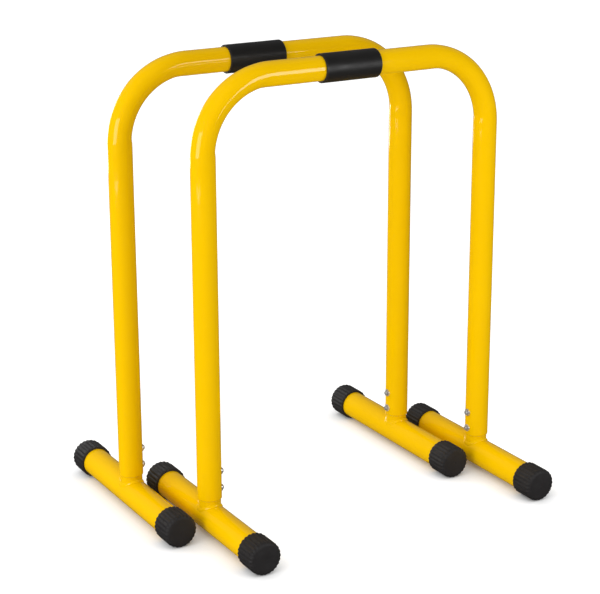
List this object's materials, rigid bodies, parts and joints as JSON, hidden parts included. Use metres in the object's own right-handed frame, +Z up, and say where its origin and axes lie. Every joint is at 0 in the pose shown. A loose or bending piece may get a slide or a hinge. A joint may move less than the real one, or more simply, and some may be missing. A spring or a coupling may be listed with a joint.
{
  "type": "parallel bars",
  "caption": "Pair of free-standing dip bars: bent tube frames on cross tubes with ribbed rubber end caps, each bar with a sliding rubber grip sleeve.",
  "frame": {"origin": "on the floor, midway between the two stands", "axes": "+X along the bars to the right, +Y from the front stand to the rear stand, +Z up"},
  "size_m": [0.621, 0.497, 0.7232],
  "materials": {
    "yellow_powder_coat": "glossy powder coat with a faint orange peel",
    "cap_rubber": "matt moulded rubber",
    "sleeve_rubber": "satin rubber, lightly textured",
    "zinc_plate": "bright zinc plate"
  },
  "bodies": {
    "front_stand": {"front_handle_tube": "yellow_powder_coat", "front_left_foot_tube": "yellow_powder_coat", "front_left_spigot": "yellow_powder_coat", "front_left_weld_bead": "yellow_powder_coat", "front_left_washers": "zinc_plate", "front_left_screws": "zinc_plate", "front_left_weld_nuts": "zinc_plate", "front_left_front_cap": "cap_rubber", "front_left_rear_cap": "cap_rubber", "front_right_foot_tube": "yellow_powder_coat", "front_right_spigot": "yellow_powder_coat", "front_right_weld_bead": "yellow_powder_coat", "front_right_washers": "zinc_plate", "front_right_screws": "zinc_plate", "front_right_weld_nuts": "zinc_plate", "front_right_front_cap": "cap_rubber", "front_right_rear_cap": "cap_rubber"},
    "front_sleeve": {"front_grip_sleeve": "sleeve_rubber"},
    "rear_stand": {"rear_handle_tube": "yellow_powder_coat", "rear_left_foot_tube": "yellow_powder_coat", "rear_left_spigot": "yellow_powder_coat", "rear_left_weld_bead": "yellow_powder_coat", "rear_left_washers": "zinc_plate", "rear_left_screws": "zinc_plate", "rear_left_weld_nuts": "zinc_plate", "rear_left_front_cap": "cap_rubber", "rear_left_rear_cap": "cap_rubber", "rear_right_foot_tube": "yellow_powder_coat", "rear_right_spigot": "yellow_powder_coat", "rear_right_weld_bead": "yellow_powder_coat", "rear_right_washers": "zinc_plate", "rear_right_screws": "zinc_plate", "rear_right_weld_nuts": "zinc_plate", "rear_right_front_cap": "cap_rubber", "rear_right_rear_cap": "cap_rubber"},
    "rear_sleeve": {"rear_grip_sleeve": "sleeve_rubber"}
  },
  "joints": [
    {"name": "stand_spacing", "type": "slide", "parent": "front_stand", "child": "rear_stand", "axis": [0, 1, 0], "range_m": [-0.095, 0.455]},
    {"name": "front_sleeve_slide", "type": "slide", "parent": "front_stand", "child": "front_sleeve", "axis": [1, 0, 0], "range_m": [-0.085, 0.097]},
    {"name": "rear_sleeve_slide", "type": "slide", "parent": "rear_stand", "child": "rear_sleeve", "axis": [1, 0, 0], "range_m": [-0.0675, 0.1145]}
  ]
}
